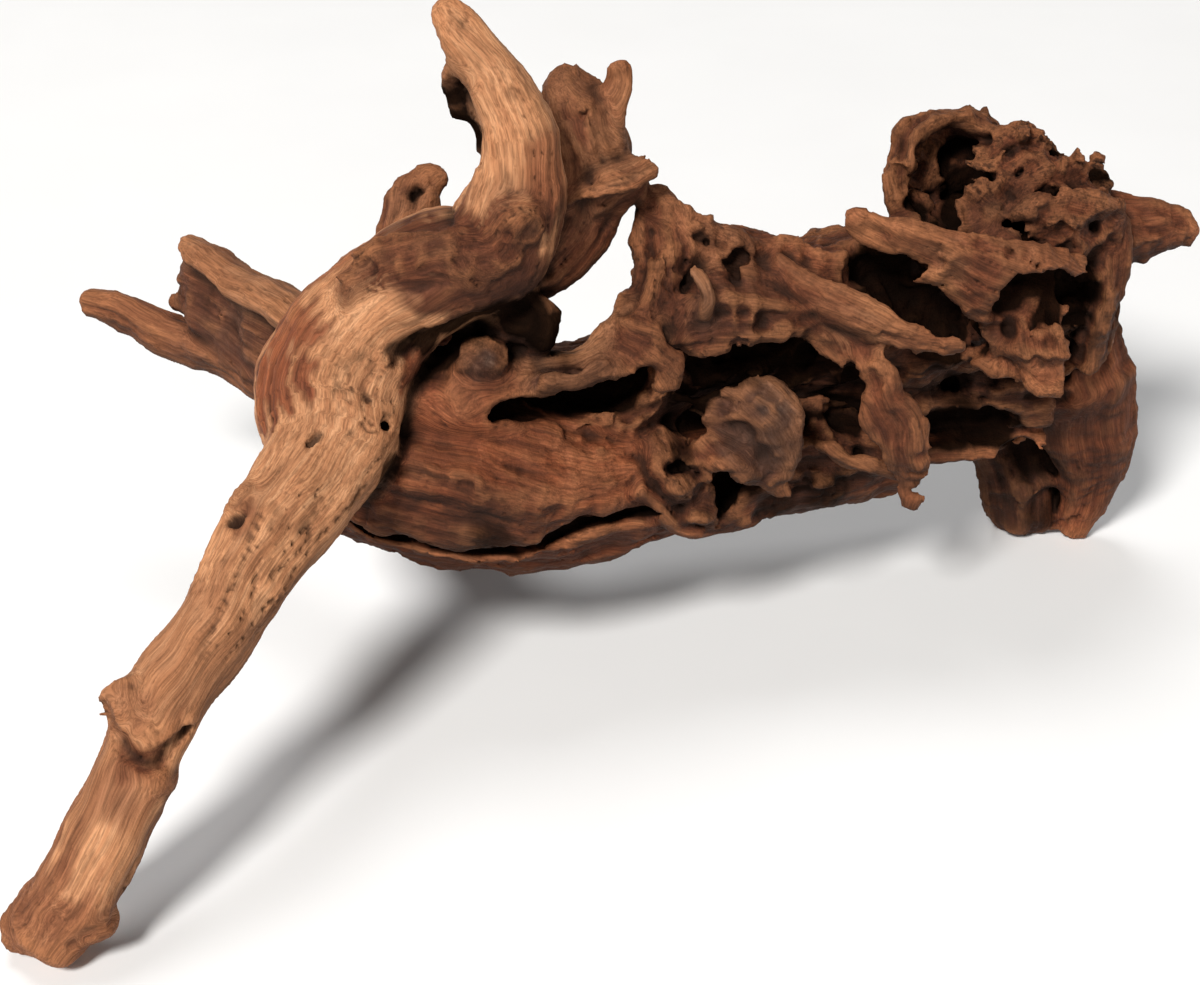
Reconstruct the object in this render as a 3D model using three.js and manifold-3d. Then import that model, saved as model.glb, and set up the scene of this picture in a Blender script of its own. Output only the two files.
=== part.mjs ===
// Piece of driftwood: one branch-and-root trunk, grown as a single body.
// Units are millimetres, +Z is up, and the wood stands on z = 0.
// Every branch, root, plate and hollow is a "limb": a closed skin drawn round a smooth spine.
import * as THREE from "three";
import { mergeVertices } from "three/addons/utils/BufferGeometryUtils.js";
import Module from "manifold-3d";

// ---- driving dimensions -------------------------------------------------------------------
const CENTRE_X = 13.7; // middle of the wood's length, moved onto x = 0
const CENTRE_Y = -9.7; // middle of the wood's depth, moved onto y = 0
const STEPS_PER_POINT = 2; // skin rows between two points of a spine
const CAP_ROWS = 2; // extra skin rows that round each end of a limb
const BIG_RADIUS = 14; // limbs thicker than this get more sides
const SIDES_BIG = 12;
const SIDES_SMALL = 7;
const FLUTES = 5; // shallow grooves that run along a weathered limb
const FLUTE_DEPTH = 0.05; // as a share of the limb's radius
const FLUTE_TWIST = 2.2; // turn of the grooves from root to tip, radians
const GROUND_BOX = 900; // side of the solid that trims the feet flat

const WOOD_COLOUR = 0x8a5a3c;
const WOOD_ROUGHNESS = 0.85;

// ---- limbs --------------------------------------------------------------------------------
// spine: [x, y, z, radius] from root to tip
// flat: the section is squeezed to this share of its radius, along the direction `thin`

function frontLeg() {
  return [
    { spine: [[-86, 5, 133, 26], [-95, -26, 117, 20], [-111, -56, 103, 16], [-128, -84, 85, 14],
              [-145, -105, 67, 13], [-153, -118, 47, 14], [-163, -131, 26, 14], [-178, -138, 9, 14]] },
    // broken collar part of the way down
    { spine: [[-157, -98, 71, 7], [-149, -106, 64, 10], [-140, -110, 58, 7]] },
    // bud scar on the outer edge
    { spine: [[-118, -56, 104, 10], [-127, -60, 100, 6], [-133, -62, 101, 3]] },
  ];
}

function arm() {
  return [
    { spine: [[-97, 14, 106, 25], [-88, 9, 144, 25], [-67, 6, 169, 20], [-50, 8, 175, 21],
              [-34, 10, 178, 20]] },
    { spine: [[-38, 10, 166, 18], [-27, 10, 191, 17], [-25, 12, 211, 14], [-30, 14, 230, 13],
              [-36, 16, 244, 11], [-43, 18, 255, 8], [-48, 19, 260, 5]] },
    // thin lip along the inner side of the horn
    { spine: [[-39, 20, 222, 5], [-47, 23, 234, 5], [-50, 24, 243, 4]] },
  ];
}

function secondBranch() {
  return [
    { spine: [[-31, 26, 153, 11], [-14, 34, 174, 11], [-4, 40, 195, 15], [-3, 44, 213, 14],
              [-9, 46, 225, 9]], flat: 0.8 },
    { spine: [[3, 42, 203, 10], [7, 44, 218, 7], [8, 46, 232, 5]] },
    // shelf that sticks out to the right of it
    { spine: [[-8, 30, 196, 7], [4, 34, 200, 7], [15, 36, 201, 5]], flat: 0.7 },
    // small looped twig where the branch leaves the arm
    { spine: [[-26, 14, 165, 4], [-18, 12, 160, 3], [-17, 12, 150, 3], [-24, 14, 143, 4]] },
  ];
}

function backLeftRoots() {
  return [
    { spine: [[-66, 32, 156, 14], [-66, 46, 175, 13], [-60, 52, 188, 8]], flat: 0.7 },
    { spine: [[-96, 36, 133, 13], [-127, 70, 135, 10], [-147, 91, 138, 8], [-156, 99, 140, 5]],
      flat: 0.7 },
    { spine: [[-98, 34, 116, 18], [-129, 66, 118, 16], [-150, 87, 124, 12]], thin: [0.3, 1, -0.4], flat: 0.5 },
    { spine: [[-106, 40, 106, 11], [-145, 78, 104, 10], [-173, 100, 105, 9], [-193, 113, 106, 7]],
      thin: [0.3, 1, 0.5], flat: 0.8 },
  ];
}

function trunk() {
  return [
    { spine: [[-98, 34, 104, 27], [-75, 22, 99, 35], [-50, 18, 91, 36], [-25, 20, 82, 31],
              [4, 30, 75, 25], [34, 44, 71, 23], [68, 58, 67, 20], [108, 74, 66, 15]] },
    { spine: [[-92, 48, 110, 26], [-52, 56, 98, 30], [-15, 62, 89, 26], [15, 70, 92, 26],
              [55, 82, 98, 29], [104, 92, 98, 27]] },
    { spine: [[28, 62, 124, 20], [62, 70, 122, 26], [112, 84, 118, 29]] },
    // root that leaves the back of the trunk and reaches the ground
    { spine: [[-44, 70, 84, 24], [-54, 96, 50, 17], [-60, 114, 22, 13], [-62, 120, 6, 12]] },
  ];
}

function trunkRims() {
  return [
    // upper lip of the long slot
    { spine: [[-35, 10, 132, 8], [-12, 13, 136, 10], [14, 20, 143, 13], [36, 30, 148, 17]], flat: 0.8 },
    { spine: [[34, 44, 145, 20], [62, 54, 141, 22], [91, 64, 137, 24], [118, 74, 136, 24]] },
    // pointed peak and the ridge that runs from it to the head
    { spine: [[28, 38, 148, 15], [19, 39, 168, 9], [15, 40, 186, 4]], flat: 0.7 },
    { spine: [[17, 41, 182, 4], [35, 44, 172, 8], [55, 47, 163, 9], [75, 51, 158, 9],
              [97, 58, 155, 11]], flat: 0.8 },
    { spine: [[20, 26, 156, 10], [23, 15, 143, 8], [22, 8, 134, 4]], flat: 0.6 },
    // draped fold and the strip that hangs from it
    { spine: [[68, 42, 159, 7], [83, 30, 147, 9], [98, 24, 145, 7], [110, 22, 143, 3]], flat: 0.8 },
    { spine: [[80, 38, 146, 9], [95, 30, 122, 9], [106, 31, 102, 10], [112, 33, 83, 8],
              [117, 35, 67, 3]], flat: 0.7 },
    { spine: [[80, 50, 92, 12], [98, 48, 84, 10], [112, 46, 74, 6]], flat: 0.7 },
    // lump and ring knot at the middle of the front
    { spine: [[52, 30, 113, 16], [51, 24, 97, 15], [59, 24, 84, 8]], flat: 0.8 },
    { spine: [[29, 26, 91, 11], [34, 26, 79, 10]], flat: 0.8 },
  ];
}

function head() {
  return [
    { spine: [[124, 86, 136, 28], [150, 90, 140, 32], [172, 96, 128, 24]] },
    { spine: [[120, 88, 154, 18], [140, 92, 162, 18], [162, 97, 168, 17], [178, 100, 155, 14]] },
    // curled rim round the crown hollow
    { spine: [[116, 80, 166, 11], [114, 80, 178, 8], [115, 83, 190, 7], [127, 88, 194, 7],
              [144, 92, 190, 7]] },
    { spine: [[116, 102, 168, 12], [132, 104, 178, 12], [152, 104, 176, 11]] },
    { spine: [[174, 100, 167, 7], [188, 101, 170, 4]] },
    // front plate with the broken stub at its left end
    { spine: [[93, 57, 173, 5], [108, 55, 164, 11], [129, 55, 151, 17], [148, 57, 137, 17],
              [160, 59, 124, 13]], flat: 0.75 },
    { spine: [[157, 76, 132, 12], [157, 54, 127, 10], [162, 47, 118, 7]] },
    // side spur
    { spine: [[180, 103, 137, 18], [200, 104, 144, 12], [214, 104, 145, 8], [223, 104, 143, 4]], flat: 0.9 },
  ];
}

function rightFoot() {
  return [
    { spine: [[178, 102, 132, 17], [188, 105, 97, 19], [195, 108, 66, 19], [197, 111, 34, 15],
              [194, 114, 7, 10]], flat: 0.8 },
    { spine: [[167, 108, 66, 18], [172, 114, 38, 15], [174, 118, 7, 11]], flat: 0.8 },
    // two beams between the trunk and the foot, one above the other
    { spine: [[100, 82, 66, 17], [142, 94, 63, 14], [174, 104, 66, 17]] },
    { spine: [[108, 84, 98, 22], [150, 92, 98, 20], [182, 102, 94, 18]] },
  ];
}

function hollows() {
  return [
    // gap under the arm
    { spine: [[-78, -14, 134, 4], [-62, -8, 138, 6], [-34, -6, 143, 7], [-12, 4, 142, 5]], flat: 0.5 },
    // long slot across the front of the trunk
    { spine: [[-36, 2, 114, 9], [-14, 12, 118, 16], [6, 20, 124, 18], [26, 28, 126, 11]], flat: 0.45 },
    // crack low on the belly
    { spine: [[-84, -14, 70, 5], [-58, -18, 61, 9], [-26, -10, 57, 10], [4, 6, 58, 8]], flat: 0.3 },
    // deep cavity under the ridge, and a knot hole below it
    { spine: [[42, 24, 131, 8], [60, 32, 131, 14], [80, 44, 126, 13]], flat: 0.6 },
    { spine: [[43, 8, 84, 6], [45, 30, 86, 7], [47, 46, 92, 6]] },
    // hollow behind the front plate
    { spine: [[94, 40, 155, 7], [102, 50, 148, 12], [113, 58, 134, 12], [120, 56, 118, 9]] },
    // hollow in the crown
    { spine: [[118, 66, 172, 9], [124, 82, 178, 11], [135, 92, 180, 9]] },
    // two holes in the right side of the head
    { spine: [[150, 44, 146, 5], [154, 58, 146, 7], [157, 74, 144, 6]], flat: 0.7 },
    { spine: [[174, 62, 136, 7], [175, 84, 134, 8]], flat: 0.6 },
    // dark gap between the two beams
    { spine: [[116, 60, 80, 8], [140, 74, 80, 10], [160, 84, 80, 8]], flat: 0.5 },
  ];
}

// ---- making a limb solid ------------------------------------------------------------------
function smoothSpine(spine) {
  const points = spine.map(([x, y, z]) => new THREE.Vector3(x, y, z));
  return new THREE.CatmullRomCurve3(points, false, "centripetal");
}

// Radius at share t of the spine's points, eased between neighbouring points.
function radiusAt(spine, t) {
  const place = t * (spine.length - 1);
  const before = Math.min(Math.floor(place), spine.length - 2);
  const share = THREE.MathUtils.smoothstep(place - before, 0, 1);
  return THREE.MathUtils.lerp(spine[before][3], spine[before + 1][3], share);
}

// The axis that a limb runs along least, used where a limb doesn't name its thin direction.
function crosswiseAxis(spine) {
  const run = spine[0].slice(0, 3).map((from, axis) => Math.abs(spine.at(-1)[axis] - from));
  const least = run.indexOf(Math.min(...run));
  return run.map((_, axis) => (axis === least ? 1 : 0));
}

// Two directions across the spine: the wide one and the squeezed one.
function sectionAxes(tangent, thin) {
  const direction = new THREE.Vector3(...thin);
  const narrow = direction.addScaledVector(tangent, -tangent.dot(direction)).normalize();
  return [new THREE.Vector3().crossVectors(tangent, narrow), narrow];
}

// Turns the row number of a sphere's skin into a place along the spine, with rounded ends.
function rowPlace(row, rows) {
  const steps = rows - 2 * CAP_ROWS;
  const fromStart = row / CAP_ROWS;
  const fromEnd = (rows - row) / CAP_ROWS;
  if (fromStart < 1) {
    return { t: 0, reach: -Math.cos((fromStart * Math.PI) / 2), girth: Math.sin((fromStart * Math.PI) / 2) };
  }
  if (fromEnd < 1) {
    return { t: 1, reach: Math.cos((fromEnd * Math.PI) / 2), girth: Math.sin((fromEnd * Math.PI) / 2) };
  }
  return { t: (row - CAP_ROWS) / steps, reach: 0, girth: 1 };
}

function limbGeometry({ spine, thin = crosswiseAxis(spine), flat = 1 }) {
  const widest = Math.max(...spine.map((point) => point[3]));
  const sides = widest > BIG_RADIUS ? SIDES_BIG : SIDES_SMALL;
  const rows = STEPS_PER_POINT * (spine.length - 1) + 2 * CAP_ROWS;
  const curve = smoothSpine(spine);
  const geometry = new THREE.SphereGeometry(1, sides, rows);
  const position = geometry.attributes.position;
  for (let i = 0; i < position.count; i++) {
    const row = Math.floor(i / (sides + 1));
    const side = i % (sides + 1);
    const { t, reach, girth } = rowPlace(row, rows);
    const radius = radiusAt(spine, t);
    const angle = (2 * Math.PI * (side % sides)) / sides;
    const tangent = curve.getTangent(t);
    const [wide, narrow] = sectionAxes(tangent, thin);
    const flute = 1 + FLUTE_DEPTH * Math.cos(FLUTES * angle + FLUTE_TWIST * t);
    const across = radius * girth * flute;
    const point = curve.getPoint(t)
      .addScaledVector(tangent, radius * reach)
      .addScaledVector(wide, across * Math.cos(angle))
      .addScaledVector(narrow, across * flat * Math.sin(angle));
    position.setXYZ(i, point.x - CENTRE_X, point.y - CENTRE_Y, point.z);
  }
  geometry.deleteAttribute("normal");
  geometry.deleteAttribute("uv");
  return mergeVertices(geometry, 1e-4);
}

// ---- joining and cutting ------------------------------------------------------------------
const wasm = await Module();
wasm.setup();

function solidFrom(geometry) {
  const mesh = new wasm.Mesh({
    numProp: 3,
    vertProperties: new Float32Array(geometry.attributes.position.array),
    triVerts: new Uint32Array(geometry.index.array),
  });
  return new wasm.Manifold(mesh);
}

function join(limbs) {
  return limbs.map((limb) => solidFrom(limbGeometry(limb))).reduce((whole, limb) => whole.add(limb));
}

// Solid below z = 0, so that each foot ends in a flat face on the ground.
function ground() {
  const box = new THREE.BoxGeometry(GROUND_BOX, GROUND_BOX, GROUND_BOX);
  box.translate(0, 0, -GROUND_BOX / 2);
  box.deleteAttribute("normal");
  box.deleteAttribute("uv");
  return solidFrom(mergeVertices(box, 1e-4));
}

function driftwoodSolid() {
  const limbs = [
    ...frontLeg(), ...arm(), ...secondBranch(), ...backLeftRoots(),
    ...trunk(), ...trunkRims(), ...head(), ...rightFoot(),
  ];
  return join(limbs).subtract(join(hollows())).subtract(ground());
}

function geometryFrom(solid) {
  const { vertProperties, triVerts } = solid.getMesh();
  const geometry = new THREE.BufferGeometry();
  geometry.setAttribute("position", new THREE.BufferAttribute(new Float32Array(vertProperties), 3));
  geometry.setIndex(new THREE.BufferAttribute(new Uint32Array(triVerts), 1));
  geometry.computeVertexNormals();
  return geometry;
}

const material = new THREE.MeshStandardMaterial({
  color: WOOD_COLOUR,
  roughness: WOOD_ROUGHNESS,
  metalness: 0,
});
const driftwood = new THREE.Mesh(geometryFrom(driftwoodSolid()), material);
driftwood.name = "driftwood";

const part = new THREE.Group();
part.name = "piece_of_driftwood";
part.add(driftwood);
export default part;
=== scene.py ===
"""Visual model of the piece of driftwood.

The wood is described by "limbs": smooth spines with a radius, a section that may be squeezed, and a tone.
Their distances are blended into one field, hollows are cut out of it, weathering is added along the grain,
and the field is meshed as one closed body. All lengths in this script are millimetres until the mesh is made.
"""
import math

import bpy
import numpy as np
import openvdb
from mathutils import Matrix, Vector


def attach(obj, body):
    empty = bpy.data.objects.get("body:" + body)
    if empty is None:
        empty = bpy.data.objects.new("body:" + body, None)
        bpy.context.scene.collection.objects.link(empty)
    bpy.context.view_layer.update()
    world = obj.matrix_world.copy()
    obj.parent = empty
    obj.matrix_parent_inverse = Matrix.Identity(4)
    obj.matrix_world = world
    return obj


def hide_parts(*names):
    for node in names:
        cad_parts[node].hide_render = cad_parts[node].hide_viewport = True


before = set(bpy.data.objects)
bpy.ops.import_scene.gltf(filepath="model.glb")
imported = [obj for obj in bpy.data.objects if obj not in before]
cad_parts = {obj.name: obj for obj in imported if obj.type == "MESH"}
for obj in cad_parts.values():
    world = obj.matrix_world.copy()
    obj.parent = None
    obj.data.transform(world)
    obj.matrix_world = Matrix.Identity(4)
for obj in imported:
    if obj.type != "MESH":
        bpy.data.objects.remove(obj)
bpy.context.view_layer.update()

# ---- driving values -----------------------------------------------------------------------
MM = 0.001
CENTRE = np.array([13.7, -9.7, 0.0])  # middle of the wood, moved onto the origin as in the CAD
VOXEL = 1.3
SPINE_STEP = 5.0
NEAR = 16.0  # how far from a limb its distance is still worked out
FAR = 40.0
FIRST_STEPS = 4  # VOXEL steps in one step of the coarsest grid
BANDS = (8.0, 3.4)  # how near the skin the field is worked out again on each finer grid
CHUNK = 300000  # points worked out at one time
GRAIN_SPREAD = 14.0  # how far the grain of one limb is moved from the grain of the next
PULL_FADE = 2.5  # how fast a limb's tone and relief fade away from its skin
LIP = 2.5  # how softly the edge of a hollow is rounded
EDGE_REACH = 3.2  # how far round a place is looked at to find worn edges, and creases that are painted as shade
SHUT_REACH = 9.0  # how far round a place is looked at to find how enclosed it is, which is painted as shade
VIEW_ELEVATION = 32.0  # degrees the camera looks down
VIEW_DISTANCE = 820.0
VIEW_TARGET = np.array([0.0, 0.0, 92.0])

# Tones are shares of pale, red and grey wood; what is left is plain brown.
PALE = (1.0, 0.0, 0.0)
TAN = (0.55, 0.4, 0.0)
ORANGE = (0.28, 0.95, 0.0)
RED = (0.0, 0.85, 0.0)
BROWN = (0.05, 0.25, 0.05)
DARK = (0.0, 0.0, 0.0)
WORN = (0.15, 0.55, 0.1)
FAWN = (0.3, 0.5, 0.0)
RUST = (0.0, 0.55, 0.0)
UMBER = (0.0, 0.5, 0.0)
GREY = (0.05, 0.1, 0.8)
DRAB = (0.1, 0.2, 0.45)
SLATE = (0.0, 0.0, 0.6)
STONE = (0.0, 0.1, 0.6)
LEAD = (0.0, 0.0, 0.9)
ASH = (0.0, 0.0, 1.0)


# ---- limbs --------------------------------------------------------------------------------
def limb(spine, tone=BROWN, flat=1.0, thin=None, blend=5.0, gnarl=0.5):
    """spine: (x, y, z, radius) from root to tip. gnarl: how deeply the limb is eaten away."""
    return {"spine": spine, "tone": tone, "flat": flat, "thin": thin, "blend": blend, "gnarl": gnarl}


def leg_arm_horn():
    return [
        limb([(-175, -136, 11, 14), (-161.5, -131, 33, 12.5), (-154, -122, 46, 12), (-148.5, -113, 56, 12),
              (-144, -106, 66, 12), (-137, -97, 78, 12.5), (-125, -84, 92, 13), (-112, -60, 103, 16),
              (-100, -36, 110, 18), (-91, -14, 120, 22), (-91, 2, 130, 25), (-84, 7, 146, 24),
              (-69, 6, 165, 20), (-54, 8, 174, 20), (-40, 10, 177, 19), (-31, 10, 190, 17),
              (-27, 11, 207, 14), (-28, 13, 220, 13), (-32, 15, 234, 11), (-37, 17, 245, 9),
              (-43, 18, 254, 8), (-49, 19, 262, 5)], tone=PALE, blend=3.5, gnarl=0.05),
        # shelf beside the horn, and the flap that hangs from it, toned dark as painted shade at the back of
        # the notch
        limb([(-50, 17, 241, 2.5), (-47, 16, 245, 3.5), (-41, 14, 242, 4)],
             tone=TAN, flat=0.7, thin=(1, 0, 0), blend=4, gnarl=0.1),
        limb([(-46, 20, 242, 4), (-46, 20, 236, 6), (-42, 21, 228, 7), (-39, 21, 219, 6), (-36, 20, 211, 4)],
             tone=DARK, flat=0.6, thin=(0, 1, 0), blend=3, gnarl=0.3),
        # broken collar on the leg, with its splinter
        limb([(-152, -101, 78, 5), (-148, -107, 74, 5), (-143, -109, 72, 5), (-136, -103, 75, 4)],
             tone=TAN, blend=6, gnarl=0.2),
        limb([(-150, -102, 79, 5), (-156, -103, 77, 3), (-159, -104, 73, 1.6)], tone=TAN, flat=0.6,
             thin=(0, 1, 0), blend=3, gnarl=0.1),
        limb([(-148, -116, 62, 3), (-142, -118, 59, 3.5), (-138, -112, 54, 3)], tone=ORANGE, blend=3,
             gnarl=0.2),
        # swellings near the foot
        limb([(-161, -127, 40, 5), (-155, -127, 37, 6), (-154, -129, 30, 5)], tone=TAN, blend=4, gnarl=0.3),
        limb([(-176, -132, 18, 9), (-185, -136, 10, 8)], tone=TAN, blend=4, gnarl=0.3),
        limb([(-172, -136, 20, 8), (-172, -138, 11, 7)], tone=ORANGE, blend=4, gnarl=0.3),
        limb([(-166, -134, 24, 9), (-161, -138, 15, 8)], tone=TAN, blend=4, gnarl=0.3),
        # knot on the upper leg
        limb([(-111, -50, 110, 8), (-117, -49, 117, 5)], tone=TAN, gnarl=0.2),
        # bark loop under the arm, and the mass behind it, both toned dark as painted shade under the arm
        limb([(-28, 10, 166, 4), (-23, 8, 163, 3.5), (-19, 8, 155, 3.5), (-21, 10, 147, 4),
              (-27, 14, 141, 4)], tone=DARK, blend=2, gnarl=0.2),
        limb([(-50, 20, 157, 10), (-36, 18, 156, 10), (-27, 14, 154, 9), (-23, 13, 152, 7)],
             tone=DARK, blend=4, gnarl=0.4),
        # lower corner of the grey chip
        limb([(-40, -10, 141, 5), (-38, -12, 136, 2.5)], tone=SLATE, flat=0.6, thin=(0, 1, 0), blend=2,
             gnarl=0.3),
        # rough bark on the arm
        limb([(-84, -6, 174, 6), (-66, -5, 183, 8), (-50, -5, 186, 8), (-36, -5, 187, 8), (-27, -3, 199, 7)],
             tone=BROWN, flat=0.5, thin=(0, 1, -0.6), blend=6, gnarl=0.55),
    ]


def second_branch():
    return [
        limb([(-38, 18, 172, 14), (-22, 25, 172, 13), (-11, 33, 180, 14), (-6, 38, 190, 15),
              (-3, 41, 200, 15), (-5, 44, 212, 14.5), (-10, 46, 220, 11.5), (-11, 46, 224, 8)],
             tone=WORN, flat=0.8, thin=(0, 1, 0), gnarl=0.3),
        limb([(0, 42, 206, 9), (4, 44, 219, 6.5), (7, 46, 229, 5), (7, 46, 233, 4.5)], tone=WORN, flat=0.7,
             thin=(0, 1, 0), blend=4, gnarl=0.1),
        limb([(-12, 29, 194, 5), (2, 27, 200, 8), (11, 32, 201, 8), (14, 36, 198, 4)], tone=ORANGE, flat=0.4,
             thin=(0, -0.4, 1), blend=2.5, gnarl=0.3),
        limb([(-1, 36, 190, 10), (8, 38, 194, 8), (12, 38, 195, 4)], tone=WORN, blend=4, gnarl=0.3),
        # broken stub behind the arm
        limb([(-66, 16, 162, 12), (-68, 32, 168, 12), (-67, 45, 175, 12.5), (-64, 50, 183, 10.5),
              (-56, 52, 189, 5)], tone=WORN, flat=0.7, thin=(0, 1, 0), blend=4, gnarl=0.3),
    ]


def back_left_roots():
    return [
        limb([(-100, 36, 136, 12), (-112, 50, 138, 11), (-126, 68, 137, 10), (-141, 86, 139, 9),
              (-156, 100, 141, 5.5)], tone=TAN, flat=0.65, thin=(0, 0.3, 1), blend=3, gnarl=0.15),
        limb([(-100, 36, 118, 18), (-116, 52, 121, 17), (-133, 72, 124, 15), (-148, 86, 127, 13),
              (-156, 94, 127, 10)], tone=DRAB, flat=0.5, thin=(0.4, 1, -0.4), blend=3, gnarl=0.25),
        limb([(-152, 92, 122, 6), (-163, 98, 118, 4)], tone=BROWN, blend=3, gnarl=0.2),
        limb([(-104, 42, 102, 10), (-121, 56, 103, 10), (-141, 76, 104, 10), (-160, 92, 104, 10),
              (-181, 104, 107, 9), (-198, 112, 109, 7.5)], tone=FAWN, flat=0.75, thin=(0.4, 1, 0.5), blend=3,
             gnarl=0.1),
    ]


def trunk():
    return [
        limb([(-98, 34, 97, 27), (-75, 22, 98, 35), (-52, 18, 94, 36), (-25, 20, 85, 32),
              (0, 30, 79, 27), (30, 44, 73, 25), (64, 58, 68, 23), (108, 74, 64, 17)],
             tone=RED, blend=10, gnarl=0.24),
        limb([(-92, 48, 110, 26), (-52, 56, 98, 30), (-15, 62, 89, 26), (15, 70, 92, 26),
              (55, 82, 98, 29), (104, 92, 98, 27)], tone=BROWN, blend=10, gnarl=0.4),
        limb([(-50, 36, 116, 18), (-20, 38, 112, 18), (8, 38, 115, 18), (28, 60, 118, 19), (62, 70, 122, 26),
              (112, 84, 118, 29)], tone=BROWN, blend=10),
        # hidden foot at the back
        limb([(-44, 70, 84, 24), (-54, 96, 50, 17), (-60, 114, 22, 13), (-62, 120, 6, 12)],
             tone=RED, blend=12, gnarl=0.2),
        limb([(-88, 22, 66, 5), (-62, 14, 60, 7), (-33, 12, 58, 7), (-7, 18, 59, 7), (19, 30, 60, 5)],
             tone=RED, gnarl=0.2),
        # shoulder between the hub and the rim
        limb([(-62, 12, 126, 16), (-46, 8, 127, 15), (-34, 8, 128, 12)], tone=RED, blend=8, gnarl=0.15),
    ]


def trunk_front():
    return [
        # grey chip caught under the arm; the piece under it is toned dark as painted shade
        limb([(-42, 12, 138, 9), (-41, 2, 144, 8)], tone=DARK, blend=3, gnarl=0.3),
        limb([(-51, -9, 148, 5), (-45, -11, 147, 7), (-38, -11, 146, 8), (-30, -9, 148, 7),
              (-23, -6, 150, 5)], tone=SLATE, flat=0.55, thin=(0, 1, -0.6), blend=2, gnarl=0.2),
        # torn rim over the long slot
        limb([(-46, 2, 134, 10), (-33, 6, 134, 10), (-20, 8, 134, 9), (-7, 11, 135, 8), (5, 16, 140, 9),
              (16, 24, 148, 12)], tone=TAN, flat=0.6, thin=(0, 1, -0.6), blend=4, gnarl=0.35),
        limb([(-20, 2, 133, 6), (-9, 4, 132, 6), (2, 8, 137, 5)], tone=GREY, flat=0.6, thin=(0, 1, 0.6),
             blend=2, gnarl=0.4),
        limb([(10, 14, 144, 10), (20, 12, 139, 9), (25, 10, 131, 4)], tone=BROWN, flat=0.5, thin=(0, 1, -0.3),
             blend=3),
        # peak, and the ridge running back from it
        limb([(20, 28, 150, 14), (22, 33, 163, 12), (20, 37, 176, 9), (17, 40, 187, 5)],
             tone=BROWN, flat=0.7, thin=(0, 1, 0), blend=4),
        limb([(17, 38, 183, 4), (31, 40, 175, 7), (44, 44, 167, 8), (58, 48, 159, 8), (75, 52, 155, 8),
              (88, 55, 154, 7.5), (98, 58, 158, 7)], tone=WORN, flat=0.7, thin=(0, 1, 0.3), blend=4),
        limb([(22, 44, 156, 14), (40, 48, 154, 15), (62, 52, 146, 16), (85, 58, 142, 17), (106, 64, 144, 18)],
             tone=BROWN, blend=6),
        limb([(20, 34, 145, 13), (36, 38, 146, 17), (58, 42, 146, 16), (72, 44, 145, 12)], tone=BROWN,
             blend=6, gnarl=0.35),
        limb([(21, 44, 130, 16), (61, 56, 128, 18), (91, 66, 122, 18), (118, 76, 120, 20)], tone=BROWN,
             blend=8),
        limb([(32, 21, 167, 2), (35, 19, 164, 2.6), (37, 19, 156, 2.6), (36, 20, 149, 2)], tone=ASH, blend=2,
             gnarl=0.1),
        # draped sheet with two tongues
        limb([(64, 42, 158, 8), (78, 36, 152, 11), (92, 32, 145, 13), (104, 30, 139, 11), (116, 28, 136, 6),
              (124, 28, 135, 2.5)], tone=WORN, flat=0.45, thin=(0, 1, 0.5), blend=3, gnarl=0.3),
        limb([(70, 40, 146, 8), (80, 36, 136, 9), (88, 34, 126, 8), (95, 32, 116, 5)],
             tone=BROWN, flat=0.5, thin=(0, 1, 0), blend=3, gnarl=0.4),
        limb([(92, 34, 138, 8), (97, 30, 126, 7), (101, 28, 114, 8.5), (107, 28, 102, 9.5),
              (110, 29, 90, 8.5), (112.5, 31, 78, 5.5), (113.5, 33, 65, 3.5)],
             tone=WORN, flat=0.5, thin=(0, 1, 0.2), blend=3, gnarl=0.35),
        # loose shield of grey wood in the cavity
        limb([(35, 26, 117, 12), (46, 25, 114, 16), (55, 22, 107, 16.5), (61, 19, 96, 12), (63, 18, 87, 6)],
             tone=GREY, flat=0.5, thin=(0, 1, -0.3), blend=3, gnarl=0.32),
        limb([(38, 18, 101, 8), (46, 14, 94, 8), (52, 15, 88, 5)], tone=WORN, flat=0.7, thin=(0, 1, 0),
             blend=3, gnarl=0.4),
        limb([(24, 26, 98, 9), (26, 19, 92, 10), (30, 17, 84, 8)], tone=BROWN, blend=3),
        limb([(56, 20, 90, 3.5), (62, 19, 84, 4.5), (66, 20, 78, 3)], tone=ORANGE, blend=1.5, gnarl=0.4),
        # roots crossing low down
        limb([(66, 34, 104, 4), (80, 33, 94, 4), (96, 35, 84, 4), (113, 40, 74, 4)], tone=BROWN, blend=3,
             gnarl=0.3),
        limb([(60, 44, 84, 12), (84, 50, 84, 13), (104, 52, 78, 9), (116, 50, 72, 5)], tone=BROWN, flat=0.8,
             thin=(0, 1, 0), blend=4, gnarl=0.6),
        limb([(14, 8, 89, 3), (23, 12, 76, 3.4), (30, 18, 66, 4), (42, 26, 60, 4), (56, 34, 58, 3)],
             tone=ORANGE, blend=3, gnarl=0.1),
        limb([(34, 24, 78, 10), (44, 30, 70, 10), (58, 36, 70, 9)], tone=BROWN, blend=4),
    ]


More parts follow.
